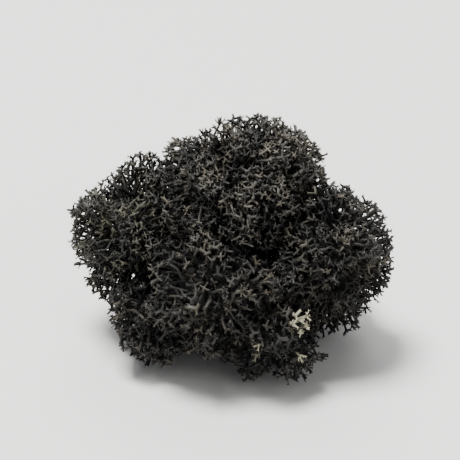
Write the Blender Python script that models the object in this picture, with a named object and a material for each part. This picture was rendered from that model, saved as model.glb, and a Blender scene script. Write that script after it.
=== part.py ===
"""Reindeer moss clump: a cushion of black-dyed lichen, nine rounded heads of forked, star-tipped tufts."""

import math
from dataclasses import dataclass

import bmesh
import bpy
import numpy as np
from mathutils import Quaternion, Vector
from mathutils.bvhtree import BVHTree

MM = 0.001

# The flat spot the clump rests on is centred on the origin, and +Z is up.
FLAT_SPOT_SIDES = 14
FLOOR_CLEARANCE = 0.5 * MM

# Branchlets: half-thickness at the root, at the first fork, at the second fork, and how far a fork swells.
ROOT_RADIUS = 0.74 * MM
FORK_RADIUS = 0.56 * MM
ARM_RADIUS = 0.46 * MM
FORK_SWELLING = 0.30 * MM
COLLAR_HEIGHT = 0.35 * MM

# Share of its length at which a branchlet forks for the first and the second time.
FIRST_FORK = 0.50
SECOND_FORK = 0.79

# Each branchlet covers a cell of the clump's outside, and its arms and tips reach a share of that cell.
SURFACE_PER_SPRIG = 41.0 * MM * MM
CELL_RADIUS = math.sqrt(SURFACE_PER_SPRIG / math.pi)
ARM_SPREAD = 0.58
TIP_SPREAD = 0.40
LENGTH_JITTER = 0.07
TURN_JITTER = 0.2
SIDEWAYS = Vector((0.31, 0.52, 0.79))

# A branchlet that meets another is tried shorter and leaned further out, down to these least lengths.
LENGTH_SHARES = (1.0, 0.96, 0.92, 0.88, 0.83, 0.77, 0.7, 0.62, 0.54)
LEANS = (0.0, 0.15, 0.35, 0.6)
SHORTEST_STEM = 1.2 * MM
SHORTEST_TIP = 0.8 * MM
FORK_CLEARANCE = 0.7 * MM

# Branchlets stay on their own side of the crease between two heads: thick forks by more than thin tips.
FORK_GAP = 1.5 * MM
TIP_GAP = 0.45 * MM
CREASE_FILL = 4.5 * MM
CREASE_ROUNDING = 2.4 * MM
CREASE_SEARCH = 6 * MM
FARTHEST_BEND = 3.2 * MM


@dataclass
class Head:
    """A head: a lumpy dome whose knobs are balls set round its centre, over a smaller core."""

    name: str
    centre: tuple
    radius: float
    knob_count: int
    core_share: float
    looseness: float
    colour: tuple
    seed: int


CHARCOAL = (0.034, 0.033, 0.029)
OLIVE = (0.034, 0.034, 0.024)
SHADED = (0.028, 0.027, 0.025)

# Knobs: how far from the head's centre and how large, as shares of its radius.
KNOB_REACH = 0.58
KNOB_RADIUS = 0.44

# Cores: their least size beside another head, what they keep from it and from the floor, and their lumps.
LEAST_CORE = 0.25
CORE_GAP = 1.0 * MM
CORE_FLOOR = 2.0 * MM
CORE_LUMPS = 0.86
ROOT_DEPTH = 0.93
ROOT_SEARCH = 4 * MM

HEADS = (
    Head("head_crown", (1, 2, 29.5), 17.5, 20, 0.53, 0.7, CHARCOAL, 11),
    Head("head_right", (17.5, -2, 22.5), 13.8, 12, 0.50, 0.8, CHARCOAL, 12),
    Head("head_left", (-17, 0, 21), 15.0, 13, 0.50, 0.8, OLIVE, 13),
    Head("head_front", (-1, -13, 18.5), 13.8, 12, 0.50, 0.9, CHARCOAL, 14),
    Head("head_rear", (2, 15, 19.5), 14.5, 12, 0.50, 0.8, SHADED, 15),
    Head("head_low_front", (9.5, -12.5, 10.7), 11.3, 9, 0.46, 1.4, SHADED, 16),
    Head("head_low_left", (-13, -10.5, 10.5), 11.0, 9, 0.46, 1.2, SHADED, 17),
    Head("head_low_right", (16, 6.5, 11.2), 11.8, 9, 0.46, 1.2, SHADED, 18),
    Head("head_low_rear", (-11, 12, 10.8), 11.5, 9, 0.46, 1.2, SHADED, 19),
)

# The crown's stems run down through the middle of the clump: height and half-width of their bundle.
STEM_RINGS = ((0.0, 5.8), (1.8, 5.0), (6.0, 4.0), (10.0, 4.4), (15.0, 3.8), (22.0, 5.2))
STEM_SPRIGS = 16
STEM_SPRIG_LENGTH = 6.0 * MM
STEM_SPRIG_HEIGHTS = (3.0 * MM, 12.0 * MM)
STEM_SPRIG_DROOP = 1.5 * MM
GOLDEN_ANGLE = math.pi * (3 - math.sqrt(5))


def clear_scene():
    for obj in list(bpy.data.objects):
        bpy.data.objects.remove(obj, do_unlink=True)
    for mesh in list(bpy.data.meshes):
        bpy.data.meshes.remove(mesh)


def sphere_directions(count, rng):
    """Evenly spread directions, by the golden angle, turned at random."""
    turn = Quaternion(rng.normal(size=4).tolist()).normalized()
    directions = []
    for i in range(count):
        z = 1 - (2 * i + 1) / count
        flat = math.sqrt(1 - z * z)
        angle = GOLDEN_ANGLE * i
        directions.append(turn @ Vector((flat * math.cos(angle), flat * math.sin(angle), z)))
    return directions


def knobs_of(head):
    """The balls of a head, as rows of x, y, z and radius."""
    rng = np.random.default_rng(head.seed)
    centre = Vector(head.centre) * MM
    radius = head.radius * MM
    rows = []
    for direction in sphere_directions(head.knob_count, rng):
        place = centre + direction * KNOB_REACH * radius * rng.uniform(0.95, 1.05)
        rows.append((*place, KNOB_RADIUS * radius * rng.uniform(0.93, 1.07)))
    return np.array(rows)


def stem_balls():
    """Balls round the crown's stem bundle and its side shoots, to keep the other heads off them."""
    return np.array([(0.0, 0.0, z * MM, width * MM + STEM_SPRIG_LENGTH * 0.6) for z, width in STEM_RINGS])


def balls_of(head):
    """All the balls that a head fills: its knobs, its core and, for the crown, its stems."""
    core = (*(np.array(head.centre) * MM), head.core_share * head.radius * MM)
    rows = [KNOBS[head.name], stem_balls(), core] if head.name == "head_crown" else [KNOBS[head.name], core]
    return np.vstack(rows)


KNOBS = {head.name: knobs_of(head) for head in HEADS}
FIELDS = {head.name: balls_of(head) for head in HEADS}


def distance_to_head(name, points):
    """Distance from each point to the outside of a head's balls, negative inside."""
    balls = FIELDS[name]
    gaps = np.linalg.norm(points[:, None, :] - balls[None, :, :3], axis=2) - balls[None, :, 3]
    return gaps.min(axis=1)


def knob_ahead(head, way):
    """The farthest that a ray from the head's centre leaves one of its knobs, and that knob's centre."""
    knobs = KNOBS[head.name]
    towards = (knobs[:, :3] - np.array(head.centre) * MM) @ np.array(way)
    across = ((knobs[:, :3] - np.array(head.centre) * MM) ** 2).sum(axis=1) - towards**2
    reach = towards + np.sqrt(np.maximum(knobs[:, 3] ** 2 - across, 0))
    reach[across > knobs[:, 3] ** 2] = 0
    best = int(reach.argmax())
    return max(float(reach[best]), 0.8 * head.radius * MM), Vector(knobs[best, :3].tolist())


def clump_reach(head, way):
    """How far the clump's rounded outside is from the head's centre along a direction."""
    start, knob = knob_ahead(head, way)
    steps = np.linspace(start, start + CREASE_SEARCH, 25)
    points = np.array(head.centre) * MM + steps[:, None] * np.array(way)
    fields = np.array([distance_to_head(other.name, points) for other in HEADS])
    level = -CREASE_ROUNDING * np.log(np.exp(-fields / CREASE_ROUNDING).sum(axis=0))
    outside = np.nonzero(level > 0)[0]
    return float(steps[outside[0]] if len(outside) else steps[-1]), knob


def own_side(name, points):
    """How far each point is on its own head's side of the creases to the others."""
    own = distance_to_head(name, points)
    others = [distance_to_head(other.name, points) for other in HEADS if other.name != name]
    return np.min(others, axis=0) - own


def crease_pull(name, point):
    """How far a point is on its own side of the nearest crease, and the way away from that crease."""
    nearest = {}
    for other in HEADS:
        balls = FIELDS[other.name]
        gaps = np.linalg.norm(balls[:, :3] - point, axis=1) - balls[:, 3]
        nearest[other.name] = (gaps.min(), balls[gaps.argmin(), :3])
    own, own_ball = nearest.pop(name)
    far, far_ball = min(nearest.values(), key=lambda item: item[0])
    from_far = point - far_ball
    from_own = point - own_ball
    return far - own, from_far / np.linalg.norm(from_far) - from_own / np.linalg.norm(from_own)


def bent_clear(name, place, gap):
    """The place moved off the neighbouring heads and the floor, or nothing if it would move far."""
    point = np.array(place)
    for _ in range(6):
        side, away = crease_pull(name, point)
        if side < gap:
            point = point + away * (gap * 1.05 - side) / max(float(away @ away), 0.3)
        point[2] = max(point[2], FLOOR_CLEARANCE * 1.1)
    if crease_pull(name, point)[0] < gap or np.linalg.norm(point - np.array(place)) > FARTHEST_BEND:
        return None
    return Vector(point.tolist())


def core_reach(head, way):
    """How far the core goes from its centre along a direction, drawn in near a head or the floor."""
    centre = Vector(head.centre) * MM
    full = head.core_share * head.radius * MM
    reach = full
    while reach > LEAST_CORE * full:
        place = np.array([tuple(centre + way * reach)])
        if own_side(head.name, place)[0] > CORE_GAP and place[0][2] > CORE_FLOOR:
            break
        reach -= 0.04 * full
    return reach


def ring_frame(axis, towards):
    """Two directions across an axis, the first of them leaning towards a given direction."""
    first = (towards - axis * towards.dot(axis)).normalized()
    return first, axis.cross(first)


def grow_segment(bm, face, place, axis, radius, lead):
    """Extrudes a triangular face to a new place and gives it an even triangle across the axis there."""
    end = bmesh.ops.extrude_discrete_faces(bm, faces=[face])["faces"][0]
    corners = list(end.verts)
    first, second = ring_frame(axis, lead)
    turns = sorted(range(3), key=lambda i: -(corners[i].co - end.calc_center_median()).dot(lead))
    start = turns[0]
    for step in range(3):
        angle = step * math.tau / 3
        corner = corners[(start + step) % 3]
        corner.co = place + (first * math.cos(angle) + second * math.sin(angle)) * radius
    end.normal_update()
    return end


def fork(bm, face, swelling):
    """Raises a triangular end to a low point, which leaves three faces for three branchlets."""
    axis = face.normal.copy()
    poked = bmesh.ops.poke(bm, faces=[face])
    poked["verts"][0].co += axis * swelling
    for side in poked["faces"]:
        side.normal_update()
    return poked["faces"]


def grow_tip(bm, face, place):
    """Extrudes a face and draws it to a point."""
    end = bmesh.ops.extrude_discrete_faces(bm, faces=[face])["faces"][0]
    bmesh.ops.pointmerge(bm, verts=list(end.verts), merge_co=place)


def tilted(axis, lead, angle):
    """The axis leaned towards lead by an angle."""
    across = (lead - axis * lead.dot(axis)).normalized()
    return (axis * math.cos(angle) + across * math.sin(angle)).normalized()


def plan_sprig(root, way, length, spread, looseness, rng):
    """Places of a twice forked branchlet: its first fork, three second forks and their nine tips."""
    first, second = ring_frame(way, SIDEWAYS)
    phase = rng.uniform(0, math.tau)
    arm_tilt = math.asin(min(0.8, ARM_SPREAD * spread * CELL_RADIUS / (length * SECOND_FORK)))
    tip_tilt = math.asin(min(0.8, TIP_SPREAD * spread * CELL_RADIUS / length))
    hub_way = tilted(way, first * math.cos(phase) + second * math.sin(phase), 0.06 * looseness)
    hub = root + hub_way * length * FIRST_FORK * (1 + rng.normal(0, LENGTH_JITTER * looseness * 0.5))
    arms = []
    for i in range(3):
        angle = phase + i * math.tau / 3 + rng.normal(0, TURN_JITTER)
        lead = first * math.cos(angle) + second * math.sin(angle)
        arm_way = tilted(way, lead, arm_tilt * rng.uniform(0.8, 1.12))
        reach = length * SECOND_FORK * (1 + rng.normal(0, LENGTH_JITTER * looseness * 0.5))
        arm_end = root + arm_way * reach
        tips = []
        for j in range(3):
            turn = angle + j * math.tau / 3 + rng.normal(0, TURN_JITTER)
            tip_lead = first * math.cos(turn) + second * math.sin(turn)
            tip_way = tilted(arm_way, tip_lead, tip_tilt * rng.uniform(0.8, 1.15))
            tips.append(root + tip_way * length * (1 + rng.normal(0, LENGTH_JITTER * looseness)))
        arms.append((arm_end, tips))
    return hub, arms


def bent_sprig(name, hub, arms):
    """The branchlet with its forks and tips bent clear of its neighbours and the floor, or nothing."""
    hub = bent_clear(name, hub, FORK_GAP)
    bent = []
    for arm_end, tips in arms:
        arm_end = bent_clear(name, arm_end, FORK_GAP)
        tips = [bent_clear(name, tip, TIP_GAP) for tip in tips]
        if hub is None or arm_end is None or None in tips:
            return None
        shortest = min((tip - arm_end).length for tip in tips)
        if (arm_end - hub).length < SHORTEST_STEM or shortest < SHORTEST_TIP:
            return None
        bent.append((arm_end, tips))
    return hub, bent


def grow_sprig(bm, face, way, hub, arms):
    """Grows a branchlet out of a triangular face: a stem, three arms at its fork, three tips on each."""
    lead = (arms[0][0] - hub).normalized()
    stem_end = grow_segment(bm, face, hub, way, FORK_RADIUS, -lead)
    left = list(arms)
    for side in fork(bm, stem_end, FORK_SWELLING):
        arm = nearest(left, side, hub, lambda item: item[0])
        left.remove(arm)
        arm_end, tips = arm
        end = grow_segment(bm, side, arm_end, (arm_end - hub).normalized(), ARM_RADIUS, way)
        free = list(tips)
        for tip_side in fork(bm, end, FORK_SWELLING * 0.7):
            tip = nearest(free, tip_side, arm_end, lambda item: item)
            free.remove(tip)
            grow_tip(bm, tip_side, tip)


def nearest(items, face, hub, place_of):
    """The item whose place lies most in the direction of a face, as seen from the fork."""
    out = (face.calc_center_median() - hub).normalized()
    return max(items, key=lambda item: (place_of(item) - hub).normalized().dot(out))


def root_ring(root, way, lead):
    first, second = ring_frame(way, lead)
    angles = [i * math.tau / 3 for i in range(3)]
    return [root + (first * math.cos(a) + second * math.sin(a)) * ROOT_RADIUS for a in angles]


def trial_tree(root, way, hub, arms):
    """The search tree of a branchlet above its root, to test it against the others."""
    bm = bmesh.new()
    corners = [bm.verts.new(place) for place in root_ring(root, way, hub - arms[0][0])]
    face = bm.faces.new(corners)
    face.normal_update()
    grow_sprig(bm, face, way, hub, arms)
    tree = BVHTree.FromBMesh(bm)
    bm.free()
    return tree


def fitted_sprig(head, anchor, root, direction, length, grown, rng):
    """A branchlet leaned, bent and shortened until it is clear of heads, floor and those grown."""
    away = (root - anchor).normalized()
    for share in LENGTH_SHARES:
        for lean in LEANS:
            way = (direction + away * lean).normalized()
            bent = bent_sprig(head.name, *plan_sprig(root, way, length * share, share, head.looseness, rng))
            if bent is None:
                continue
            hub, arms = bent
            lowest = min((place - anchor).length for place in [hub, *(arm_end for arm_end, _ in arms)])
            if lowest < (root - anchor).length + FORK_CLEARANCE or (hub - root).length < SHORTEST_STEM:
                continue
            way = (hub - root).normalized()
            tree = trial_tree(root, way, hub, arms)
            if not any(tree.overlap(other) for other in grown):
                grown.append(tree)
                return way, hub, arms
    return None


def core_mesh(head):
    """The head's smaller core."""
    centre = Vector(head.centre) * MM
    rng = np.random.default_rng(head.seed + 100)
    bm = bmesh.new()
    bmesh.ops.create_icosphere(bm, subdivisions=3 if head.radius > 12 else 2, radius=1.0)
    for vert in bm.verts:
        way = vert.co.normalized()
        vert.co = centre + way * core_reach(head, way) * rng.uniform(CORE_LUMPS, 1.0)
    mesh = bpy.data.meshes.new(head.name)
    bm.to_mesh(mesh)
    bm.free()
    return mesh


def stem_bundle(parts):
    """The crown's stems, drawn together in one ribbed bundle with a flat foot."""
    bm = bmesh.new()
    rings = []
    for height, width in STEM_RINGS:
        ring = []
        for i in range(FLAT_SPOT_SIDES):
            angle = i * math.tau / FLAT_SPOT_SIDES
            radius = width * (0.88 if i % 2 else 1.0) * MM
            ring.append(bm.verts.new((radius * math.cos(angle), radius * math.sin(angle), height * MM)))
        rings.append(ring)
    bm.faces.new(list(reversed(rings[0])))
    bm.faces.new(rings[-1])
    for lower, upper in zip(rings, rings[1:]):
        for i in range(FLAT_SPOT_SIDES):
            j = (i + 1) % FLAT_SPOT_SIDES
            bm.faces.new((lower[i], lower[j], upper[j], upper[i]))
    bmesh.ops.recalc_face_normals(bm, faces=bm.faces)
    mesh = bpy.data.meshes.new("stem_bundle")
    bm.to_mesh(mesh)
    bm.free()
    parts.objects.link(bpy.data.objects.new("stem_bundle", mesh))


def free_face(bm, used, place, outward):
    """The unused face that lies nearest to a place, faces outward and is large enough for a root."""
    best = None
    best_distance = ROOT_SEARCH
    for face in bm.faces:
        if face in used or face.calc_area() < 1.2 * ROOT_RADIUS**2 or face.normal.dot(outward) < 0.5:
            continue
        distance = (face.calc_center_median() - place).length
        if distance < best_distance:
            best, best_distance = face, distance
    return best


def head_aims(head, rng):
    """Where a head's branchlets aim: anchor, place of the root, outward direction and point reached."""
    centre = Vector(head.centre) * MM
    aims = []
    for way in sphere_directions(round(4 * math.pi * (head.radius * MM) ** 2 / SURFACE_PER_SPRIG), rng):
        reach, knob = clump_reach(head, way)
        point = centre + way * reach
        if own_side(head.name, np.array([tuple(point)]))[0] < -CREASE_FILL or point.z < 0:
            continue
        inward = (way + (knob - centre).normalized() * 0.25).normalized()
        aims.append((centre, centre + inward * core_reach(head, inward) * ROOT_DEPTH, inward, point))
    return aims


def stem_aims():
    """Side shoots all round the crown's stem bundle."""
    heights, widths = np.array(STEM_RINGS).T * MM
    droop = Vector((0, 0, STEM_SPRIG_DROOP))
    aims = []
    for i, height in enumerate(np.linspace(*STEM_SPRIG_HEIGHTS, STEM_SPRIGS).tolist()):
        outward = Vector((math.cos(GOLDEN_ANGLE * i), math.sin(GOLDEN_ANGLE * i), 0))
        anchor = Vector((0, 0, height))
        root = anchor + outward * float(np.interp(height, heights, widths)) * ROOT_DEPTH
        aims.append((anchor, root, outward, root + outward * STEM_SPRIG_LENGTH - droop))
    return aims


def plan_sprigs(head, bm):
    """Fits a branchlet to each aim, on a face of the core of its own."""
    rng = np.random.default_rng(head.seed + 200)
    aims = head_aims(head, rng) + (stem_aims() if head.name == "head_crown" else [])
    grown = []
    used = set()
    plans = []
    for anchor, place, outward, point in aims:
        face = free_face(bm, used, place, outward)
        if face is None:
            continue
        root = face.calc_center_median() + face.normal * COLLAR_HEIGHT
        out = point - root
        found = fitted_sprig(head, anchor, root, out.normalized(), out.length, grown, rng)
        if found:
            used.add(face)
            plans.append((face, root, *found))
    return plans


def fuse(obj, parts):
    """Joins a collection's objects to the object by one Boolean union, and removes the collection."""
    union = obj.modifiers.new("fuse", "BOOLEAN")
    union.operation = "UNION"
    union.operand_type = "COLLECTION"
    union.collection = parts
    union.solver = "EXACT"
    bpy.context.view_layer.objects.active = obj
    obj.select_set(True)
    bpy.ops.object.modifier_apply(modifier=union.name)
    obj.select_set(False)
    for part in list(parts.objects):
        bpy.data.objects.remove(part, do_unlink=True)
    bpy.data.collections.remove(parts)


def dyed_lichen(head):
    material = bpy.data.materials.new(f"dyed_lichen_{head.name}")
    material.use_nodes = True
    shader = material.node_tree.nodes["Principled BSDF"]
    shader.inputs["Base Color"].default_value = (*head.colour, 1.0)
    shader.inputs["Roughness"].default_value = 0.9
    shader.inputs["Metallic"].default_value = 0.0
    material.diffuse_color = (*head.colour, 1.0)
    return material


def build_head(head):
    obj = bpy.data.objects.new(head.name, core_mesh(head))
    bpy.context.scene.collection.objects.link(obj)
    if head.name == "head_crown":
        parts = bpy.data.collections.new("stems")
        bpy.context.scene.collection.children.link(parts)
        stem_bundle(parts)
        fuse(obj, parts)
    bm = bmesh.new()
    bm.from_mesh(obj.data)
    bmesh.ops.triangulate(bm, faces=[face for face in bm.faces if face.calc_center_median().z > 0])
    for face, root, way, hub, arms in plan_sprigs(head, bm):
        base = grow_segment(bm, face, root, way, ROOT_RADIUS, hub - arms[0][0])
        grow_sprig(bm, base, way, hub, arms)
    bmesh.ops.triangulate(bm, faces=[face for face in bm.faces if face.calc_center_median().z > 0])
    bm.to_mesh(obj.data)
    bm.free()
    obj.data.materials.clear()
    obj.data.materials.append(dyed_lichen(head))


def main():
    clear_scene()
    for head in HEADS:
        build_head(head)


main()
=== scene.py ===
"""The looks of a reindeer moss clump: star-tipped strands grown inside each head of the solid part."""

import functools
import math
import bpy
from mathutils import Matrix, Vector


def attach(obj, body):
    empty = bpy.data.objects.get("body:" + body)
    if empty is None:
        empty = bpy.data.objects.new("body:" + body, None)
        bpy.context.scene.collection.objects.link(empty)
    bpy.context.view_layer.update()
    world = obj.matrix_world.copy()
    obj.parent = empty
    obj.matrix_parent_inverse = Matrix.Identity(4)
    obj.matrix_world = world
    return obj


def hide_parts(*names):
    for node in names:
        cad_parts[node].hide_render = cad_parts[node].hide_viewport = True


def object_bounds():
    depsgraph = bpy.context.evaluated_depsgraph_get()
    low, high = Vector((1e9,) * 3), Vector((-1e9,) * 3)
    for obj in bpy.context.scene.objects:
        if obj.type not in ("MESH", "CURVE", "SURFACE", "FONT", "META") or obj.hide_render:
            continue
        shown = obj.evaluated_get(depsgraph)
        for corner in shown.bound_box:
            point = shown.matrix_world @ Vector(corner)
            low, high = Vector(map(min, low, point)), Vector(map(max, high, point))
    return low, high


bl_info = {
    "name": "Reindeer Moss Clump",
    "version": (1, 0, 0),
    "blender": (4, 5, 0),
    "location": "3D Viewport > Sidebar > Moss",
    "description": "Grows the forked strands, star tips, cores and stems of a dyed reindeer moss clump",
    "category": "Object",
}

from dataclasses import dataclass

import bpy
import numpy as np
from mathutils import Vector, noise
from mathutils.kdtree import KDTree

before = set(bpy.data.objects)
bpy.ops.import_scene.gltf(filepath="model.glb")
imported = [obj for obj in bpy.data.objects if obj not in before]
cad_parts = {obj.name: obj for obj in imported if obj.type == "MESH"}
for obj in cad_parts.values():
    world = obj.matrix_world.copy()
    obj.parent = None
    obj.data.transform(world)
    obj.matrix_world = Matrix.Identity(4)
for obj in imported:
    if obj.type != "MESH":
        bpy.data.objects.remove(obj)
CAD_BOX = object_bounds()
MM = 0.001


@dataclass(frozen=True)
class HeadForm:
    """A head: its node, the middle of its dome in millimetres, finish, stems, looseness and seed."""

    node: str
    centre: tuple
    slot: str
    stems: int
    looseness: float
    seed: int


CROWN = HeadForm("head_crown", (1.0, 2.0, 29.5), "dyed_lichen", 15, 0.98, 21)
SIDE_HEADS = (
    HeadForm("head_right", (17.5, -2.0, 22.5), "dyed_lichen", 5, 1.04, 22),
    HeadForm("head_left", (-17.0, 0.0, 21.0), "dyed_lichen_olive", 6, 1.02, 63),
    HeadForm("head_front", (-1.0, -13.0, 18.5), "dyed_lichen", 5, 1.32, 24),
    HeadForm("head_rear", (2.0, 15.0, 19.5), "dyed_lichen_shaded", 5, 1.08, 25),
)
LOW_HEADS = (
    HeadForm("head_low_front", (9.5, -12.5, 10.7), "dyed_lichen_shaded", 4, 1.32, 26),
    HeadForm("head_low_left", (-13.0, -10.5, 10.5), "dyed_lichen_shaded", 4, 1.1, 47),
    HeadForm("head_low_right", (16.0, 6.5, 11.2), "dyed_lichen_shaded", 4, 1.2, 28),
    HeadForm("head_low_rear", (-11.0, 12.0, 10.8), "dyed_lichen_shaded", 4, 1.2, 29),
)

# Forms of the star tips: number of arms, how far they rise in degrees and their length in millimetres.
STAR_FORMS = (
    (4, 28, 0.50),
    (4, 42, 0.62),
    (5, 32, 0.52),
    (3, 48, 0.80),
    (5, 45, 0.66),
    (4, 55, 0.78),
    (3, 62, 0.95),
    (4, 36, 0.86),
    (3, 35, 0.70),
    (4, 60, 0.60),
)
STAR_NAME = "star_tip"

# Height and half-width in millimetres of the bundle that the crown's stems make.
BUNDLE = ((0.0, 5.0), (3.0, 4.3), (7.0, 3.6), (12.0, 3.7), (17.0, 4.2), (23.0, 6.0))

# Points along a crown stem, thickness in millimetres at the foot and the top of a stem, and its outness, an
# even painted shade darker than the tips.
STEM_POINTS = 10
STEM_THICKNESS = (1.1, 0.8)
STEM_SHADED_OUTNESS = 0.7

# How light the lichen of each slot is, the shaded slot darker as painted shade on the rear and low heads, and
# how strongly it is tinted where it took less dye.
LICHENS = {
    "dyed_lichen": (1.0, 0.85),
    "dyed_lichen_olive": (0.95, 1.0),
    "dyed_lichen_shaded": (0.65, 0.55),
}

# Outness is 0 deep inside and about 1 on the outermost tips; the lower it is, the darker the painted shade.
# Tone is 1 where undyed, and else at most 0.9.
MOST_OUTNESS = 1.1
DARKER_STRANDS = 0.04
MEAN_TONE = 0.45
MOST_DYED_TONE = 0.9

# Rings of star tips that the dye has missed: head, middle, and inner and outer radius, in millimetres.
UNDYED_RINGS = (
    ("head_low_front", (16.4, -18.6, 16.4), 0.0, 2.9),
    ("head_low_front", (16.4, -19.4, 9.4), 0.0, 1.2),
    ("head_low_front", (8.0, -20.8, 11.4), 0.5, 2.7),
)

# The soft lamps: name, place and size in metres, and power in watts.
LAMPS = (
    ("key_light", (-0.28, -0.14, 1.42), 0.5, 52.0),
    ("fill_light", (0.9, -0.5, 0.6), 0.9, 3.0),
    ("rear_light", (-0.1, 0.9, 0.9), 0.8, 9.0),
)


class MossStrands(bpy.types.PropertyGroup):
    """How the strands of each head grow."""

    spacing: bpy.props.FloatProperty(
        name="Spacing",
        description="Least distance between star tips at the outside of a head",
        default=1.14 * MM,
        min=0.8 * MM,
        max=4.0 * MM,
        unit="LENGTH",
    )
    deepening: bpy.props.FloatProperty(
        name="Deepening",
        description="How much the spacing grows with each millimetre further in than the outer tangle",
        default=0.07 * MM,
        min=0.0,
        max=1.0 * MM,
        unit="LENGTH",
    )
    thickness: bpy.props.FloatProperty(
        name="Thickness",
        description="Thickness of a strand that bears one star tip",
        default=0.48 * MM,
        min=0.1 * MM,
        max=1.0 * MM,
        unit="LENGTH",
    )
    thickening: bpy.props.FloatProperty(
        name="Thickening",
        description="Power of the number of tips that a strand bears, for its thickness",
        default=0.28,
        min=0.0,
        max=0.5,
    )
    curd_width: bpy.props.FloatProperty(
        name="Curd Width",
        description="Distance between the small rounded knobs that a head is made of",
        default=7.0 * MM,
        min=2.0 * MM,
        max=20.0 * MM,
        unit="LENGTH",
    )
    curd_depth: bpy.props.FloatProperty(
        name="Curd Depth",
        description="How far the creases between those knobs go in",
        default=2.3 * MM,
        min=0.0,
        max=4.0 * MM,
        unit="LENGTH",
    )
    unevenness: bpy.props.FloatProperty(
        name="Unevenness",
        description="How much further in the shortest of the outermost tips are than the longest",
        default=1.3 * MM,
        min=0.0,
        max=4.0 * MM,
        unit="LENGTH",
    )
    hollow_depth: bpy.props.FloatProperty(
        name="Hollow Depth",
        description="How far the wider hollows in a head go in",
        default=2.2 * MM,
        min=0.0,
        max=5.0 * MM,
        unit="LENGTH",
    )
    parting: bpy.props.FloatProperty(
        name="Parting",
        description="Gap between the outsides of two heads, as a share of a head",
        default=0.03,
        min=0.0,
        max=0.3,
        subtype="FACTOR",
    )
    core_share: bpy.props.FloatProperty(
        name="Core Share",
        description="Size of the dense core as a share of its head",
        default=0.42,
        min=0.2,
        max=0.8,
        subtype="FACTOR",
    )


class MossStars(bpy.types.PropertyGroup):
    """The small star of branchlets that ends each strand."""

    hub: bpy.props.FloatProperty(
        name="Hub",
        description="Radius of a star's middle, from which its arms grow",
        default=0.26 * MM,
        min=0.1 * MM,
        max=1.0 * MM,
        unit="LENGTH",
    )
    spike: bpy.props.FloatProperty(
        name="Spike",
        description="Length of the fine points at the end of an arm",
        default=0.34 * MM,
        min=0.05 * MM,
        max=1.0 * MM,
        unit="LENGTH",
    )
    taper: bpy.props.FloatProperty(
        name="Taper",
        description="How much narrower an arm is at its end, on each side",
        default=0.05 * MM,
        min=0.0,
        max=0.2 * MM,
        unit="LENGTH",
    )


class MossFinish(bpy.types.PropertyGroup):
    """Colours and surface of the dyed lichen."""

    # Deep: painted shade for the core and for the strands far inside.
    deep: bpy.props.FloatVectorProperty(
        name="Deep",
        description="Colour of the core and of strands far inside",
        subtype="COLOR",
        default=(0.0035, 0.0034, 0.0033),
        min=0.0,
        max=1.0,
    )
    charcoal: bpy.props.FloatVectorProperty(
        name="Charcoal",
        description="Colour of the dyed strands",
        subtype="COLOR",
        default=(0.011, 0.0106, 0.0092),
        min=0.0,
        max=1.0,
    )
    # Tip: paler where the dye is thin, and the light end of the ramp whose lower stops paint shade further
    # in.
    tip: bpy.props.FloatVectorProperty(
        name="Tip",
        description="Colour of the outermost tips, where the dye is thin",
        subtype="COLOR",
        default=(0.078, 0.0755, 0.0655),
        min=0.0,
        max=1.0,
    )
    olive: bpy.props.FloatVectorProperty(
        name="Olive",
        description="Colour of the left head's strands that took less dye",
        subtype="COLOR",
        default=(0.072, 0.069, 0.037),
        min=0.0,
        max=1.0,
    )
    brown: bpy.props.FloatVectorProperty(
        name="Brown",
        description="Colour of the other heads' strands that took less dye",
        subtype="COLOR",
        default=(0.090, 0.074, 0.049),
        min=0.0,
        max=1.0,
    )
    undyed: bpy.props.FloatVectorProperty(
        name="Undyed",
        description="Colour of the few tips that the dye has missed",
        subtype="COLOR",
        default=(0.40, 0.375, 0.265),
        min=0.0,
        max=1.0,
    )


class MossStage(bpy.types.PropertyGroup):
    """Floor, light and camera."""

    azimuth: bpy.props.FloatProperty(
        name="Azimuth",
        description="How far the camera stands round to the right of the front",
        default=math.radians(12.87),
        subtype="ANGLE",
    )
    elevation: bpy.props.FloatProperty(
        name="Elevation",
        description="How far the camera looks down",
        default=math.radians(29.28),
        subtype="ANGLE",
    )
    distance: bpy.props.FloatProperty(
        name="Distance",
        description="Distance from the camera to the middle of the clump",
        default=0.687,
        min=0.1,
        unit="LENGTH",
    )
    view_width: bpy.props.FloatProperty(
        name="View Width",
        description="Width of the view at the middle of the clump",
        default=86 * MM,
        min=20 * MM,
        unit="LENGTH",
    )
    floor: bpy.props.FloatVectorProperty(
        name="Floor",
        description="Colour of the floor",
        subtype="COLOR",
        default=(0.80, 0.79, 0.77),
        min=0.0,
        max=1.0,
    )
    room: bpy.props.FloatVectorProperty(
        name="Room",
        description="Colour of the even light all round",
        subtype="COLOR",
        default=(0.95, 0.97, 1.0),
        min=0.0,
        max=1.0,
    )
    room_light: bpy.props.FloatProperty(
        name="Room Light",
        description="Strength of the even light all round",
        default=0.32,
        min=0.0,
        max=2.0,
    )


def unit(vectors):
    """The vectors at a length of 1."""
    return vectors / np.linalg.norm(vectors, axis=-1, keepdims=True)


def batches(rows):
    """The rows in batches of a few thousand, so that no table made from them gets too large."""
    return np.array_split(rows, max(1, len(rows) // 4000))


def vertex_places(mesh):
    """The places of a mesh's vertices, a row for each."""
    places = np.empty(len(mesh.vertices) * 3, np.float32)
    mesh.vertices.foreach_get("co", places)
    return places.reshape(-1, 3).astype(float)


def search_tree(places):
    """A tree that finds which of the places are near a point."""
    tree = KDTree(len(places))
    for i, place in enumerate(places):
        tree.insert(place, i)
    tree.balance()
    return tree


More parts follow.
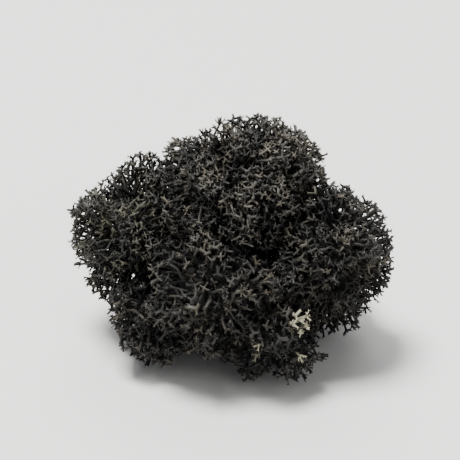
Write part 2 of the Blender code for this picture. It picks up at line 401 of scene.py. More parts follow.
def spike_tips(mesh):
    """The sharp points of a head's solid: corners where three slender triangles meet."""
    slenderness = 1.5
    mesh.calc_loop_triangles()
    corners = np.empty(len(mesh.loop_triangles) * 3, np.int32)
    mesh.loop_triangles.foreach_get("vertices", corners)
    places, same = np.unique(vertex_places(mesh).round(6), axis=0, return_inverse=True)
    corners = same.reshape(-1)[corners].reshape(-1, 3)
    sides = np.stack([
        np.linalg.norm(places[corners[:, (i + 1) % 3]] - places[corners[:, (i + 2) % 3]], axis=1)
        for i in range(3)
    ])
    apex = corners[np.arange(len(corners)), sides.argmin(axis=0)]
    slender = np.sort(sides, axis=0)[1] > slenderness * sides.min(axis=0)
    slender_count = np.bincount(apex[slender], minlength=len(places))
    count = np.bincount(corners.ravel(), minlength=len(places))
    return places[(slender_count == 3) & (count == 3)]


class Dome:
    """The rounded outside of a head, as the tips of its solid's spikes give it."""

    # The angle over which tips count for a direction, and the power by which the longer ones count more.
    width = 0.17
    favour = 6

    # How much the outness falls with each millimetre inwards, and from the top of the clump to the ground:
    # painted shade in the tangle and towards the ground.
    shade_inwards = 0.1
    shade_downwards = 0.26
    top = 46 * MM

    def __init__(self, form):
        self.form = form
        self.centre = np.array(form.centre) * MM
        tips = spike_tips(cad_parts[form.node].data) - self.centre
        self.lengths = np.linalg.norm(tips, axis=1)
        self.ways = tips / self.lengths[:, None]

    def reach(self, ways):
        """How far the outside is along each direction, by the tips near it and most by the longer ones."""
        found = []
        for some in batches(ways):
            near = np.exp((some @ self.ways.T - 1) / self.width**2) + 1e-12
            total = near @ self.lengths**self.favour
            found.append((total / near.sum(axis=1)) ** (1 / self.favour))
        return np.concatenate(found)

    def measured(self, places):
        """How far each place is from the middle, and how far the outside is in the same direction."""
        out = places - self.centre
        far = np.linalg.norm(out, axis=1) + 1e-9
        return far, self.reach(out / far[:, None])

    def share(self, places):
        """How far out each place is, from 0 in the middle to 1 at the outside."""
        far, reach = self.measured(places)
        return far / reach

    def outness(self, places):
        """1 at the outside on top, and less further in and lower down, where the material paints shade."""
        far, reach = self.measured(places)
        low = 1 - places[:, 2] / self.top
        return (1 - self.shade_inwards * (reach - far) / MM - self.shade_downwards * low).clip(0, MOST_OUTNESS)

    def faces(self, places):
        """Whether the head has tips on the side of it on which each place lies."""
        beside = 2.2 * self.width
        ways = unit(places - self.centre + 1e-9)
        return (ways @ self.ways.T).max(axis=1) > math.cos(beside)


@functools.cache
def domes():
    """The dome of each head, by its node."""
    return {form.node: Dome(form) for form in (CROWN, *SIDE_HEADS, *LOW_HEADS)}


@functools.cache
def solid_corners():
    """A search tree of the corners of each head's solid."""
    return {
        name: search_tree(np.unique(vertex_places(node.data).round(5), axis=0))
        for name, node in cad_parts.items()
    }


def inside_head(form, place):
    """Whether a place is about as near to its own head's solid as to any other's, or nearer."""
    leeway = 0.4 * MM
    trees = solid_corners()
    own = trees[form.node].find(place)[2]
    return all(tree.find(place)[2] > own - leeway for name, tree in trees.items() if name != form.node)


def clear_of_heads(dome, places, depth, settings):
    """Whether each place keeps the parting from the other heads near the outside. Deeper, heads may meet."""
    parted_depth = 3 * MM
    overlap = 0.04
    own = dome.share(places)
    gap = np.where(depth < parted_depth, settings.parting, -overlap)
    clear = np.ones(len(places), bool)
    for other in domes().values():
        if other is not dome:
            clear &= (other.share(places) > own + gap) | ~other.faces(places)
    return clear


def faces_head(dome, places):
    """Whether the way out from each place leads into another head, so that it can't be seen."""
    look_ahead = 3.5 * MM
    well_inside = 0.9
    ahead = places + look_ahead * unit(places - dome.centre)
    hidden = np.zeros(len(places), bool)
    for other in domes().values():
        if other is not dome:
            hidden |= (other.share(ahead) < well_inside) & other.faces(ahead)
    return hidden


def knob_ways(count, rng):
    """Directions of a head's small knobs, which push each other apart until they are evenly spread."""
    rounds = 12
    push = 0.02
    knobs = unit(rng.normal(size=(count, 3)))
    for _ in range(rounds):
        apart = knobs[:, None] - knobs[None]
        squares = (apart**2).sum(axis=2) + 1e-3
        knobs = unit(knobs + push * (apart / squares[..., None] ** 1.5).sum(axis=1) / count)
    return knobs


def curd_sink(dome, ways, radius, settings, rng):
    """How far creases between the small knobs, and wider hollows, sink the outside along each direction."""
    crease_share = 0.62
    crease_power = 2.6
    hollow_width = 8 * MM
    hollow_gain, hollow_onset = 2.2, 0.1
    knobs = knob_ways(round(4 * math.pi * (radius / settings.curd_width) ** 2) + 4, rng)
    nearest = np.concatenate([(some @ knobs.T).max(axis=1) for some in batches(ways)])
    off = radius * np.arccos(nearest.clip(-1, 1)) / (crease_share * settings.curd_width)
    creases = settings.curd_depth * np.minimum(off, 1.0) ** crease_power
    around = dome.centre + ways * radius
    waves = np.array([noise.noise(Vector(place) / hollow_width) for place in around])
    hollows = (hollow_gain * waves - hollow_onset).clip(0, 1)
    return creases + settings.hollow_depth * dome.form.looseness**2 * hollows


def spread_places(dome, settings, rng):
    """Places for forks and tips between a head's core and its outside, none nearer than its spacing."""
    tries_at_10_mm = 2.0e4
    inner_power, outer_power = 1.2, 1.5
    lowest = 1.3 * MM
    tangle = 5 * MM
    layer = 0.5 * MM
    radius = float(np.median(dome.lengths))
    tries = round(tries_at_10_mm * (radius / (10 * MM)) ** 2)
    ways = unit(rng.normal(size=(tries, 3)))
    reach = dome.reach(ways)
    sunk = curd_sink(dome, ways, radius, settings, rng)
    inside = settings.core_share * reach
    depth = (reach - sunk - inside) * rng.random(tries) ** inner_power
    unevenness = settings.unevenness * dome.form.looseness**2
    outermost = tries // 3
    depth[:outermost] = unevenness * rng.random(outermost) ** outer_power
    places = dome.centre + ways * (reach - sunk - depth)[:, None]
    fits = (places[:, 2] > lowest) & clear_of_heads(dome, places, depth, settings)
    places, depth, sunk = places[fits], depth[fits], sunk[fits]
    deeper = np.maximum(depth - tangle, 0) + sunk
    spacing = dome.form.looseness * settings.spacing + settings.deepening * deeper / MM
    layers = np.maximum(depth - unevenness, 0) // layer
    tree = search_tree(places)
    free = np.ones(len(places), bool)
    kept = []
    for i in np.argsort(layers, kind="stable"):
        if not free[i]:
            continue
        free[i] = False
        if not inside_head(dome.form, places[i]):
            continue
        kept.append(i)
        for _, j, _ in tree.find_range(places[i], spacing[i]):
            free[j] = False
    return places[kept]


@dataclass
class Growth:
    """The forks and tips of a head: where each is, what it grew from, and which way it was growing."""

    places: np.ndarray
    parents: np.ndarray
    ways: np.ndarray
    tips_borne: np.ndarray
    forks: np.ndarray
    roots: int


def grown(dome, roots, root_ways, places):
    """Joins each place, from the inside outwards, to the fork it can be reached from most straightly."""
    searches = (3.5 * MM, 8.0 * MM, 1.0)
    bend_cost = 0.6
    sideways_cost = 0.8
    fork_cost = 0.25 * MM
    onward_share, outward_share = 0.75, 0.25
    least_straight = 0.2
    least_rise = 0.05
    most_forks = 3
    barred = 1.0
    places = places[np.argsort(dome.share(places))]
    points = np.vstack([roots, places])
    first = len(roots)
    outward = unit(points - dome.centre)
    ways = outward.copy()
    ways[:first] = root_ways
    parents = np.full(len(points), -1)
    forks = np.zeros(len(points))
    tree = search_tree(points)
    for i in range(first, len(points)):
        for search in searches:
            near = np.array([j for _, j, _ in tree.find_range(points[i], search) if j < i])
            if len(near) == 0:
                continue
            steps = points[i] - points[near]
            lengths = np.linalg.norm(steps, axis=1)
            straight = (steps * ways[near]).sum(axis=1) / lengths
            rise = steps @ outward[i] / lengths
            cost = lengths * (1 + bend_cost * (1 - straight) + sideways_cost * (1 - rise))
            cost += fork_cost * forks[near]
            cost[(straight < least_straight) | (rise < least_rise) | (forks[near] > most_forks)] += barred
            if cost.min() < barred:
                break
        best = int(cost.argmin())
        parents[i] = near[best]
        forks[near[best]] += 1
        ways[i] = unit(onward_share * steps[best] / lengths[best] + outward_share * outward[i])
    borne = (forks == 0).astype(float)
    for i in range(len(points) - 1, first - 1, -1):
        borne[parents[i]] += borne[i]
    return Growth(points, parents, ways, borne, forks, first)


def strand_runs(growth):
    """The strands as runs of forks, each from the fork it leaves to its tip, by way of the fullest forks."""
    children = {}
    for i in range(growth.roots, len(growth.places)):
        children.setdefault(growth.parents[i], []).append(i)
    runs = []
    for i in range(len(growth.places)):
        ahead = sorted(children.get(i, []), key=lambda j: -growth.tips_borne[j])
        starts = ahead if i < growth.roots else ahead[1:]
        for start in starts:
            run = [i, start]
            while run[-1] in children:
                run.append(max(children[run[-1]], key=lambda j: growth.tips_borne[j]))
            runs.append(run)
    return runs


def bent_line(places, first_way, rng):
    """The line through some places, with a rounded and slightly crooked point between each two."""
    crookedness = 0.05
    before = places[0] - first_way * np.linalg.norm(places[1] - places[0])
    padded = np.vstack([before, places, 2 * places[-1] - places[-2]])
    middles = (9 * (padded[1:-2] + padded[2:-1]) - padded[:-3] - padded[3:]) / 16
    lengths = np.linalg.norm(places[1:] - places[:-1], axis=1)
    middles += rng.normal(size=middles.shape) * crookedness * lengths[:, None]
    line = np.empty((2 * len(places) - 1, 3))
    line[::2] = places
    line[1::2] = middles
    return line


def only(obj):
    """Makes an object the one that is selected and active."""
    bpy.ops.object.select_all(action="DESELECT")
    obj.select_set(True)
    bpy.context.view_layer.objects.active = obj


def drawn_strands(name, lines):
    """One mesh of round, tapered, closed strands from lines of points with a radius at each."""
    curve = bpy.data.curves.new(name, "CURVE")
    curve.dimensions = "3D"
    curve.bevel_depth = 1.0
    curve.bevel_resolution = 0
    curve.use_fill_caps = True
    for line, radii in lines:
        spline = curve.splines.new("POLY")
        spline.points.add(len(line) - 1)
        spline.points.foreach_set("co", np.column_stack([line, np.ones(len(line))]).ravel())
        spline.points.foreach_set("radius", radii)
    strands = bpy.data.objects.new(name, curve)
    bpy.context.scene.collection.objects.link(strands)
    only(strands)
    bpy.ops.object.convert(target="MESH")
    bpy.ops.object.mode_set(mode="EDIT")
    bpy.ops.mesh.select_all(action="SELECT")
    bpy.ops.mesh.remove_doubles(threshold=0.001 * MM)
    bpy.ops.object.mode_set(mode="OBJECT")
    return bpy.context.object


def strand_lines(growth, thickness, settings, rng):
    """The line of each strand with its radius at each point: the more tips a fork bears, the thicker."""
    thicknesses = (0.9, 1.1)
    lines = []
    for run in strand_runs(growth):
        places = growth.places[run]
        borne = growth.tips_borne[run].copy()
        borne[0] = borne[1]
        radii = 0.5 * thickness * np.maximum(borne, 1) ** settings.thickening
        radii *= rng.uniform(*thicknesses, len(radii))
        line = bent_line(places, growth.ways[run[0]], rng)
        steps = np.arange(len(line)) / 2
        lines.append((line, np.interp(steps, np.arange(len(radii)), radii)))
    return lines


def star_places(growth, dome, rng):
    """Whether a full star ends the strand at each place, and whether a fork there bears a small one."""
    spur_share = 0.55
    spurs_from = 0.62
    hidden_share = 0.2 if dome.form is CROWN else 1.0
    count = len(growth.places)
    grew = np.arange(count) >= growth.roots
    outer = dome.share(growth.places) > spurs_from
    spurs = grew & outer & (growth.forks > 0) & (rng.random(count) < spur_share)
    tips = grew & (growth.forks == 0)
    hidden = faces_head(dome, growth.places)
    tips &= ~hidden | (rng.random(count) < hidden_share)
    spurs &= ~hidden
    return tips, spurs


def star_copies(name, growth, dome, rng):
    """The star tips of a head: copies of the modelled ones, turned, sized and joined in one mesh."""
    tip_sizes = (0.8, 1.35)
    spur_sizes = (0.55, 0.8)
    stretches = ((0.85, 0.85, 0.8), (1.15, 1.15, 1.2))
    onward_share, outward_share = 0.55, 0.45
    wobble = 0.3
    lowest = 0.05 * MM
    paler_ends, as_before_at = 0.12, 0.75
    forms = [star_form(i) for i in range(len(STAR_FORMS))]
    tips, spurs = star_places(growth, dome, rng)
    outward = unit(growth.places - dome.centre)
    points, corners, sizes, along = [], [], [], []
    offset = 0
    for i in np.nonzero(tips | spurs)[0]:
        places, loops, counts = forms[rng.integers(len(forms))]
        way = unit(onward_share * growth.ways[i] + outward_share * outward[i] + rng.normal(0, wobble, 3))
        turn = np.array(Vector(way).to_track_quat("Z", "Y").to_matrix())
        spin = rng.uniform(0, math.tau)
        sine, cosine = math.sin(spin), math.cos(spin)
        across = np.array([[cosine, -sine, 0], [sine, cosine, 0], [0, 0, 1]])
        size = math.sqrt(dome.form.looseness) * rng.uniform(*(tip_sizes if tips[i] else spur_sizes))
        stretch = size * rng.uniform(*stretches)
        star = (places * stretch) @ across.T @ turn.T + growth.places[i]
        star[:, 2] += max(0.0, lowest - star[:, 2].min())
        points.append(star)
        corners.append(loops + offset)
        sizes.append(counts)
        far = np.linalg.norm(places, axis=1)
        along.append(far / far.max())
        offset += len(places)
    mesh = bpy.data.meshes.new(name)
    points = np.vstack(points)
    fill_mesh(mesh, points, np.concatenate(corners), np.concatenate(sizes))
    stars = bpy.data.objects.new(name, mesh)
    bpy.context.scene.collection.objects.link(stars)
    # The stars take painted shade further in and lower down, and their arms lighten towards their ends.
    set_outness(stars, dome.outness(points) + paler_ends * (np.concatenate(along) - as_before_at))
    return stars


def fill_mesh(mesh, points, corners, sizes):
    """Fills an empty mesh from its points, the points at its faces' corners and the faces' sizes."""
    mesh.vertices.add(len(points))
    mesh.vertices.foreach_set("co", points.ravel())
    mesh.loops.add(len(corners))
    mesh.loops.foreach_set("vertex_index", corners.astype(np.int32))
    mesh.polygons.add(len(sizes))
    mesh.polygons.foreach_set("loop_start", (np.cumsum(sizes) - sizes).astype(np.int32))
    mesh.update(calc_edges=True)
    mesh.validate()


def star_form(index):
    """Points, corners and face sizes of a modelled star tip."""
    mesh = bpy.data.meshes[f"{STAR_NAME}_{index}"]
    corners = np.empty(len(mesh.loops), np.int32)
    mesh.loops.foreach_get("vertex_index", corners)
    sizes = np.empty(len(mesh.polygons), np.int32)
    mesh.polygons.foreach_get("loop_total", sizes)
    return vertex_places(mesh), corners, sizes


def dense_core(name, dome, settings):
    """The lumpy middle of a head, from which its strands come out, which takes the deepest painted shade."""
    size = settings.core_share * 1.04
    bpy.ops.object.select_all(action="DESELECT")
    bpy.ops.mesh.primitive_ico_sphere_add(subdivisions=4, radius=1.0, location=(0, 0, 0))
    core = bpy.context.object
    core.name = name
    ways = unit(vertex_places(core.data))
    places = dome.centre + ways * (size * dome.reach(ways))[:, None]
    core.data.vertices.foreach_set("co", places.astype(np.float32).ravel())
    lumps = bpy.data.textures.new(name, "CLOUDS")
    lumps.noise_scale = 1.6 * MM
    lumps.noise_depth = 3
    rough = core.modifiers.new("lumps", "DISPLACE")
    rough.texture = lumps
    rough.texture_coords = "GLOBAL"
    rough.strength = 1.8 * MM
    bpy.ops.object.modifier_apply(modifier=rough.name)
    bpy.data.textures.remove(lumps)
    return core


def crown_stems(form, rng):
    """Lines of the stems that run from the flat spot up into the crown, spread by the golden angle."""
    aside, twist, waver = 0.15, 0.07, 0.05
    heights, widths = np.array(BUNDLE).T * MM
    levels = np.linspace(0, heights[-1], STEM_POINTS)
    lines = []
    for i in range(form.stems):
        angle = i * math.pi * (3 - math.sqrt(5)) + rng.normal(0, aside)
        share = math.sqrt((i + 0.6) / form.stems)
        angles = angle + np.cumsum(rng.normal(0, twist, STEM_POINTS))
        out = share * np.interp(levels, heights, widths) * (1 + rng.normal(0, waver, STEM_POINTS))
        out[1], angles[1] = out[0], angles[0]
        lines.append(np.column_stack([out * np.cos(angles), out * np.sin(angles), levels]))
    return lines


def side_stems(form, dome, rng):
    """Lines of the stems that sag from beside the crown's and rise into another head."""
    points = 7
    spread, aside = 0.16, 0.04
    out, base_height, base_spread = 7.5, 1.4, 1.5
    top_spread = 1.2 * MM
    sag = 0.10
    waver = 0.25 * MM
    lowest = 1.2 * MM
    middle = math.atan2(form.centre[1], form.centre[0])
    lines = []
    for i in range(form.stems):
        angle = middle + (i - (form.stems - 1) / 2) * spread + rng.normal(0, aside)
        height = base_height + rng.uniform(0, base_spread)
        base = np.array([math.cos(angle) * out, math.sin(angle) * out, height]) * MM
        top = dome.centre + rng.normal(0, top_spread, 3)
        steps = np.linspace(0, 1, points)[:, None]
        line = base * (1 - steps) + top * steps
        line[:, 2] -= sag * np.sin(np.pi * steps[:, 0]) * np.linalg.norm(top - base)
        line[:, 2] = np.maximum(line[:, 2], lowest)
        lines.append(line + rng.normal(0, waver, line.shape) * np.sin(np.pi * steps))
    return lines


def stem_roots(lines):
    """Places along the stems from which strands may grow, and the way out from the bundle at each."""
    rise = 0.35
    places = np.vstack([line[1:-1] for line in lines])
    around = places * (1, 1, 0)
    ways = unit(unit(around + 1e-6) + (0, 0, rise))
    return places, ways


def core_roots(dome, settings, rng):
    """Places just under the core's surface, from which the main strands grow."""
    count = 90
    depth_share = 0.8
    ways = unit(rng.normal(size=(count, 3)))
    return dome.centre + ways * (depth_share * settings.core_share * dome.reach(ways))[:, None], ways


def grow_head(form):
    """Grows a head's stems, core, strands and star tips as one piece that stands for its solid."""
    settings = bpy.context.scene.moss_strands
    rng = np.random.default_rng(form.seed)
    dome = domes()[form.node]
    stems = crown_stems(form, rng) if form is CROWN else side_stems(form, dome, rng)
    roots, root_ways = core_roots(dome, settings, rng)
    if form is CROWN:
        more, more_ways = stem_roots(stems)
        roots, root_ways = np.vstack([roots, more]), np.vstack([root_ways, more_ways])
    growth = grown(dome, roots, root_ways, spread_places(dome, settings, rng))
    thickness = math.sqrt(form.looseness) * settings.thickness
    strands = drawn_strands(form.node, strand_lines(growth, thickness, settings, rng))
    # The strands take painted shade further in and lower down.
    set_outness(strands, dome.outness(vertex_places(strands.data)) - DARKER_STRANDS)
    stars = star_copies(f"{form.node}_stars", growth, dome, rng)
    core = dense_core(f"{form.node}_core", dome, settings)
    # The core takes the deepest colour, as painted shade.
    set_outness(core, np.zeros(len(core.data.vertices)))
    stem_mesh = drawn_stems(f"{form.node}_stems", stems, rng)
    only(strands)
    for part in (stars, core, stem_mesh):
        part.select_set(True)
    bpy.ops.object.join()
    piece = bpy.context.object
    piece.name = piece.data.name = form.node.replace("head", "lichen")
    set_tone(piece, form, growth, rng)
    lay_map(piece)
    piece.data.shade_smooth()
    piece.data.materials.clear()
    piece.data.materials.append(dyed_lichen(form.slot))
    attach(piece, "root")
    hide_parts(form.node)


def drawn_stems(name, lines, rng):
    """The mesh of a head's stems, which thin out upwards and all take the same painted shade."""
    thicknesses = (0.85, 1.2)
    radii = np.linspace(*STEM_THICKNESS, STEM_POINTS) * 0.5 * MM
    stems = drawn_strands(name, [(line, radii[: len(line)] * rng.uniform(*thicknesses)) for line in lines])
    set_outness(stems, np.full(len(stems.data.vertices), STEM_SHADED_OUTNESS))
    return stems


def set_outness(obj, values):
    """Keeps on each vertex how far out it is, by which the material paints shade on it."""
    attribute = obj.data.attributes.new("outness", "FLOAT", "POINT")
    attribute.data.foreach_set("value", values.clip(0, MOST_OUTNESS).astype(np.float32))


def set_tone(piece, form, growth, rng):
    """Gives each vertex the tone of its nearest fork or tip: the higher the less dye, and 1 for none."""
    patch_width = 5 * MM
    patch_share, scatter, mottle = 0.4, 0.16, 0.03
    dyed_tones = (0.05, 0.85)
    tones = np.empty(len(growth.places))
    for i, place in enumerate(growth.places):
        patch = noise.noise(Vector(place) / patch_width)
        tones[i] = np.clip(MEAN_TONE + patch_share * patch + rng.normal(0, scatter), *dyed_tones)
    tree = search_tree(growth.places)
    for node, middle, inner, outer in UNDYED_RINGS:
        if node == form.node:
            for _, i, far in tree.find_range(Vector(middle) * MM, outer * MM):
                if far >= inner * MM:
                    tones[i] = 1.0
    places = vertex_places(piece.data)
    values = np.array([tones[tree.find(place)[1]] for place in places])
    mottled = values + rng.normal(0, mottle, len(values))
    values = np.where(values < MOST_DYED_TONE, mottled.clip(0, MOST_DYED_TONE), values)
    attribute = piece.data.attributes.new("tone", "FLOAT", "POINT")
    attribute.data.foreach_set("value", values.astype(np.float32))


def lay_map(piece):
    """A map on which every corner lies by its outness and its tone, a little spread, as the colours do."""
    mesh = piece.data
    corners = np.empty(len(mesh.loops), np.int32)
    mesh.loops.foreach_get("vertex_index", corners)
    width, left, height, bottom = 0.88, 0.016, 0.96, 0.02
    spread = 0.012
    found = []
    for name in ("outness", "tone"):
        values = np.empty(len(mesh.vertices), np.float32)
        mesh.attributes[name].data.foreach_get("value", values)
        found.append(values)
    scatter = np.random.default_rng(3).uniform(-spread, spread, (len(mesh.vertices), 2))
    where = np.column_stack([found[0] * width + left, found[1] * height + bottom]) + scatter
    layer = mesh.uv_layers.new(name="OFBake")
    layer.uv.foreach_set("vector", where[corners].astype(np.float32).ravel())


class Wire:
    """A shader value. An expression on these adds its Math nodes."""

    def __init__(self, tree, socket):
        self.tree = tree
        self.socket = socket

    def joined(self, operation, first, second):
        """The result of a Math node on two values, each a wire or a number."""
        node = self.tree.nodes.new("ShaderNodeMath")
        node.operation = operation
        for place, value in enumerate((first, second)):
            if isinstance(value, Wire):
                self.tree.links.new(value.socket, node.inputs[place])
            else:
                node.inputs[place].default_value = value
        return Wire(self.tree, node.outputs[0])

    def __add__(self, other):
        return self.joined("ADD", self, other)

    def __radd__(self, other):
        return self.joined("ADD", other, self)

    def __sub__(self, other):
        return self.joined("SUBTRACT", self, other)

    def __rsub__(self, other):
        return self.joined("SUBTRACT", other, self)

    def __mul__(self, other):
        return self.joined("MULTIPLY", self, other)

    def __rmul__(self, other):
        return self.joined("MULTIPLY", other, self)


class Finish:
    """A material and its nodes."""

    def __init__(self, name):
        self.material = bpy.data.materials.new(name)
        self.material.use_nodes = True
        self.tree = self.material.node_tree
        self.shader = self.tree.nodes["Principled BSDF"]

    def node(self, kind, settings=None, output=0, **sockets):
        """Adds a node with its settings and its sockets' values or links, and returns one of its outputs."""
        node = self.tree.nodes.new(kind)
        for name, value in (settings or {}).items():
            if name == "stops":
                self.set_stops(node.color_ramp, value)
            else:
                setattr(node, name, value)
        for name, value in sockets.items():
            self.feed(node.inputs[name.replace("_", " ")], value)
        return Wire(self.tree, node.outputs[output])

    def feed(self, socket, value):
        """Links a wire to a socket, or sets the socket to a number or a colour."""
        if isinstance(value, Wire):
            self.tree.links.new(value.socket, socket)
        else:
            socket.default_value = value

    def set_stops(self, ramp, stops):
        """Gives a ramp its stops, each a place and a colour."""
        while len(ramp.elements) < len(stops):
            ramp.elements.new(1.0)
        for element, (place, colour) in zip(ramp.elements, stops):
            element.position = place
            element.color = (*colour, 1.0)

    def attribute(self, name):
        """The value that an attribute has on the surface."""
        return self.node("ShaderNodeAttribute", {"attribute_name": name}, output=2)

    def ranged(self, value, low, high):
        """0 where a value is at its low end or less, 1 where it is at its high end or more."""
        return self.node("ShaderNodeMapRange", Value=value, From_Min=low, From_Max=high)

    def mixed(self, share, first, second):
        """The first colour with a share of the second."""
        node = self.tree.nodes.new("ShaderNodeMix")
        node.data_type = "RGBA"
        for place, value in ((0, share), (6, first), (7, second)):
            self.feed(node.inputs[place], value)
        return Wire(self.tree, node.outputs[2])


def dyed_lichen(slot):
    """The lichen of a slot: dark inside and lower down by painted shade, grey at the tips, tinted where it
    took less dye, ivory undyed.
    """
    paler_by_tone = 0.34
    smoother_tips = 0.38
    smoother_by_tone = 0.12
    gloss = 0.35
    colours = bpy.context.scene.moss_finish
    lightness, tint_share = LICHENS[slot]
    tint = colours.olive if slot == "dyed_lichen_olive" else colours.brown
    # The shaded slot's lower lightness is painted shade.
    dark = tuple(c * lightness for c in colours.charcoal)
    light = tuple(c * lightness for c in colours.tip)
    middle = tuple(0.6 * a + 0.4 * b for a, b in zip(dark, light))
    # The ramp runs from the deep painted shade inside the tangle to the grey of the tips.
    stops = ((0.30, tuple(colours.deep)), (0.68, dark), (0.88, middle), (1.0, light))
    finish = Finish(slot)
    outness = finish.attribute("outness")
    tone = finish.attribute("tone")
    place = outness + (tone - MEAN_TONE) * paler_by_tone
    base = finish.node("ShaderNodeValToRGB", {"stops": stops}, Fac=place)
    less_dye = finish.ranged(tone, MEAN_TONE, MOST_DYED_TONE)
    tinted = finish.mixed(less_dye * outness * tint_share, base, (*tint, 1.0))
    undyed = finish.ranged(tone, 0.92, 0.97)
    near_tip = finish.ranged(outness, 0.5, 0.84)
    colour = finish.mixed(undyed * near_tip, tinted, (*colours.undyed, 1.0))
    roughness = 1.0 - outness * smoother_tips - tone * smoother_by_tone
    finish.feed(finish.shader.inputs["Base Color"], colour)
    finish.feed(finish.shader.inputs["Roughness"], roughness)
    finish.shader.inputs["Specular IOR Level"].default_value = gloss
    return finish.material


def rough_star(stars, arms, rise, length, rng):
    """A star as modelled by hand: a squat cone whose sides grow into arms, most with a fine point."""
    foot_share, height_share, least_top_share = 1.1, 1.25, 0.25
    upright = 0.95
    notch = 0.11 * MM
    pointed_share = 0.7
    point_taper = 0.03 * MM
    slope = math.tan(math.radians(rise))
    foot = foot_share * stars.hub
    top = max(foot - height_share * stars.hub * slope, least_top_share * stars.hub)
    bpy.ops.object.select_all(action="DESELECT")
    bpy.ops.mesh.primitive_cone_add(
        vertices=arms,
        radius1=foot,
        radius2=top,
        depth=(foot - top) / slope,
    )
    star = bpy.context.object
    bpy.ops.object.mode_set(mode="EDIT")
    bpy.ops.mesh.select_mode(type="FACE")
    bpy.ops.mesh.select_all(action="DESELECT")
    bpy.ops.object.mode_set(mode="OBJECT")
    for face in star.data.polygons:
        face.select = abs(face.normal.z) < upright
    bpy.ops.object.mode_set(mode="EDIT")
    grow_faces(stars.taper, length * MM)
    bpy.ops.mesh.poke(offset=notch)
    bpy.ops.object.mode_set(mode="OBJECT")
    for face in star.data.polygons:
        face.select = face.select and rng.random() < pointed_share
    bpy.ops.object.mode_set(mode="EDIT")
    grow_faces(point_taper, stars.spike)
    bpy.ops.mesh.merge(type="COLLAPSE")
    bpy.ops.object.mode_set(mode="OBJECT")
    return star


def grow_faces(taper, length):
    """Grows each selected face outwards, narrower at its end."""
    bpy.ops.mesh.inset(use_individual=True, use_even_offset=False, thickness=taper, depth=length)


def bend_star(mesh, hub, arms, seed, rng):
    """Gives each arm of a star its own length and bends it, the more the further out."""
    arm_lengths = (0.45, 1.25)
    bend_share = 0.42
    bend_width = 0.7 * MM
    places = vertex_places(mesh)
    around = (math.pi / 2 - np.arctan2(places[:, 1], places[:, 0])) % math.tau
    own = rng.uniform(*arm_lengths, arms)[(around * arms / math.tau).astype(int) % arms]
    far = np.linalg.norm(places, axis=1)
    beyond = np.maximum(far - hub, 0)
    places *= ((far + (own - 1) * beyond) / far)[:, None]
    noise.seed_set(seed)
    for i, place in enumerate(places):
        bend = noise.noise_vector(Vector(place) / bend_width)
        places[i] += bend_share * beyond[i] * np.array(bend)
    mesh.vertices.foreach_set("co", places.astype(np.float32).ravel())


class MOSS_OT_star_tips(bpy.types.Operator):
    """Model the small stars of forked branchlets that end the strands"""

    bl_idname = "moss.star_tips"
    bl_label = "Star Tips"

    def execute(self, context):
        first_seed = 60
        stars = context.scene.moss_stars
        for index, (arms, rise, length) in enumerate(STAR_FORMS):
            rng = np.random.default_rng(first_seed + index)
            star = rough_star(stars, arms, rise, length, rng)
            mesh = star.data
            mesh.name = f"{STAR_NAME}_{index}"
            mesh.use_fake_user = True
            bend_star(mesh, stars.hub, arms, index + 1, rng)
            bpy.data.objects.remove(star)
        return {"FINISHED"}


class MOSS_OT_crown(bpy.types.Operator):
    """Grow the large domed head and the stems under it"""

    bl_idname = "moss.crown"
    bl_label = "Crown"

    def execute(self, context):
        grow_head(CROWN)
        return {"FINISHED"}


class MOSS_OT_side_heads(bpy.types.Operator):
    """Grow the four heads round the crown"""

    bl_idname = "moss.side_heads"
    bl_label = "Side Heads"

    def execute(self, context):
        for form in SIDE_HEADS:
            grow_head(form)
        return {"FINISHED"}


class MOSS_OT_low_heads(bpy.types.Operator):
    """Grow the four loose heads near the surface that the clump rests on"""

    bl_idname = "moss.low_heads"
    bl_label = "Low Heads"

    def execute(self, context):
        for form in LOW_HEADS:
            grow_head(form)
        return {"FINISHED"}


def lay_floor(colour):
    """Lays the pale floor under the clump."""
    bpy.ops.object.select_all(action="DESELECT")
    bpy.ops.mesh.primitive_plane_add(size=6.0, location=(0, 0, 0))
    floor = bpy.context.object
    floor.name = "floor"
    finish = Finish("pale_floor")
    finish.shader.inputs["Base Color"].default_value = (*colour, 1.0)
    finish.shader.inputs["Roughness"].default_value = 0.9
    floor.data.materials.append(finish.material)


def light_room(colour, strength):
    """Fills the room with an even, soft light."""
    world = bpy.data.worlds.new("soft_room")
    bpy.context.scene.world = world
    world.use_nodes = True
    background = world.node_tree.nodes["Background"]
    background.inputs["Color"].default_value = (*colour, 1.0)
    background.inputs["Strength"].default_value = strength


def hang_lamp(name, place, size, power):
    """Hangs a square soft lamp that points at the foot of the clump."""
    light = bpy.data.lights.new(name, "AREA")
    light.size = size
    light.energy = power
    lamp = bpy.data.objects.new(name, light)
    bpy.context.scene.collection.objects.link(lamp)
    lamp.location = place
    lamp.rotation_euler = (-Vector(place)).to_track_quat("-Z", "Y").to_euler()


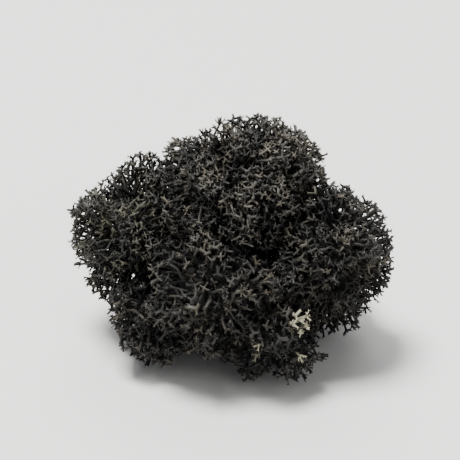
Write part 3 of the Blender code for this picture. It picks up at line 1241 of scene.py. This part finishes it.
def place_camera(stage):
    """Places the camera at the photograph's angle, with the middle of the clump in the middle of the view."""
    low, high = CAD_BOX
    middle = (Vector(low) + Vector(high)) / 2
    level = math.cos(stage.elevation)
    back = Vector((
        math.sin(stage.azimuth) * level,
        -math.cos(stage.azimuth) * level,
        math.sin(stage.elevation),
    ))
    camera = bpy.data.cameras.new("camera")
    camera.sensor_width = 36.0
    camera.lens = camera.sensor_width * stage.distance / stage.view_width
    camera.clip_start = 0.01
    eye = bpy.data.objects.new("camera", camera)
    bpy.context.scene.collection.objects.link(eye)
    eye.location = middle + back * stage.distance
    eye.rotation_euler = (-back).to_track_quat("-Z", "Y").to_euler()
    bpy.context.scene.camera = eye


class MOSS_OT_stage(bpy.types.Operator):
    """Set up the pale floor, the soft light and the camera"""

    bl_idname = "moss.stage"
    bl_label = "Stage"

    def execute(self, context):
        stage = context.scene.moss_stage
        lay_floor(stage.floor)
        light_room(stage.room, stage.room_light)
        for lamp in LAMPS:
            hang_lamp(*lamp)
        place_camera(stage)
        return {"FINISHED"}


class MOSS_PT_clump(bpy.types.Panel):
    """The steps that make the clump, in order, with their sizes and colours"""

    bl_idname = "MOSS_PT_clump"
    bl_label = "Reindeer Moss Clump"
    bl_space_type = "VIEW_3D"
    bl_region_type = "UI"
    bl_category = "Moss"

    def draw(self, context):
        for name, title in GROUPS:
            box = self.layout.box()
            box.label(text=title)
            settings = getattr(context.scene, name)
            for key in settings.__annotations__:
                box.prop(settings, key)
        for operator in OPERATORS:
            self.layout.operator(operator.bl_idname)


GROUPS = (
    ("moss_strands", "Strands"),
    ("moss_stars", "Star Tips"),
    ("moss_finish", "Finish"),
    ("moss_stage", "Stage"),
)
GROUP_TYPES = (MossStrands, MossStars, MossFinish, MossStage)
OPERATORS = (MOSS_OT_star_tips, MOSS_OT_crown, MOSS_OT_side_heads, MOSS_OT_low_heads, MOSS_OT_stage)


def register():
    """Adds the settings, the operators and the panel to Blender."""
    for kind in (*GROUP_TYPES, *OPERATORS, MOSS_PT_clump):
        bpy.utils.register_class(kind)
    for (name, _), kind in zip(GROUPS, GROUP_TYPES):
        setattr(bpy.types.Scene, name, bpy.props.PointerProperty(type=kind))


def unregister():
    """Takes the settings, the operators and the panel out again."""
    for name, _ in GROUPS:
        delattr(bpy.types.Scene, name)
    for kind in reversed((*GROUP_TYPES, *OPERATORS, MOSS_PT_clump)):
        bpy.utils.unregister_class(kind)


def main():
    """Makes the star tips, the heads and the stage in order."""
    register()
    bpy.ops.moss.star_tips()
    bpy.ops.moss.crown()
    bpy.ops.moss.side_heads()
    bpy.ops.moss.low_heads()
    bpy.ops.moss.stage()


if __name__ == "__main__":
    main()
